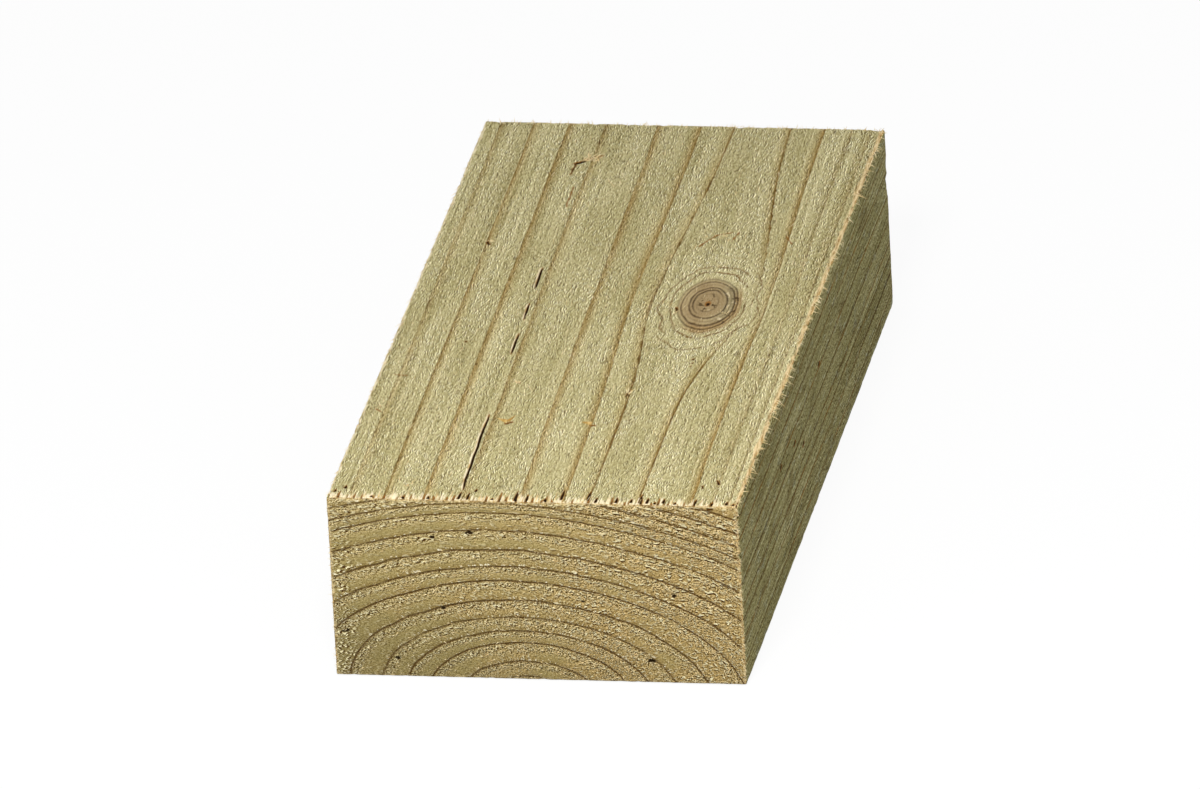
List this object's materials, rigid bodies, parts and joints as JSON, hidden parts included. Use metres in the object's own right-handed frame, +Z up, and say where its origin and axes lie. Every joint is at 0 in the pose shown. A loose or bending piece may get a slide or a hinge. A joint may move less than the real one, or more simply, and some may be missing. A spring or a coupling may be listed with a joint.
{
  "type": "timber stud",
  "caption": "Short length of rough-sawn, green-treated softwood stud with square ends, drying checks and a knot; wall framing stock that lies on a wide face.",
  "frame": {"origin": "middle of the wide face that the stud lies on", "axes": "+X across the wide faces, +Y along the grain from the near sawn end to the far one, +Z up through the thickness"},
  "size_m": [0.1, 0.225, 0.047],
  "materials": {
    "treated_softwood": "rough sawn, pale green preservative tint, dry and matt"
  },
  "bodies": {
    "root": {"stud": "treated_softwood"}
  },
  "joints": []
}
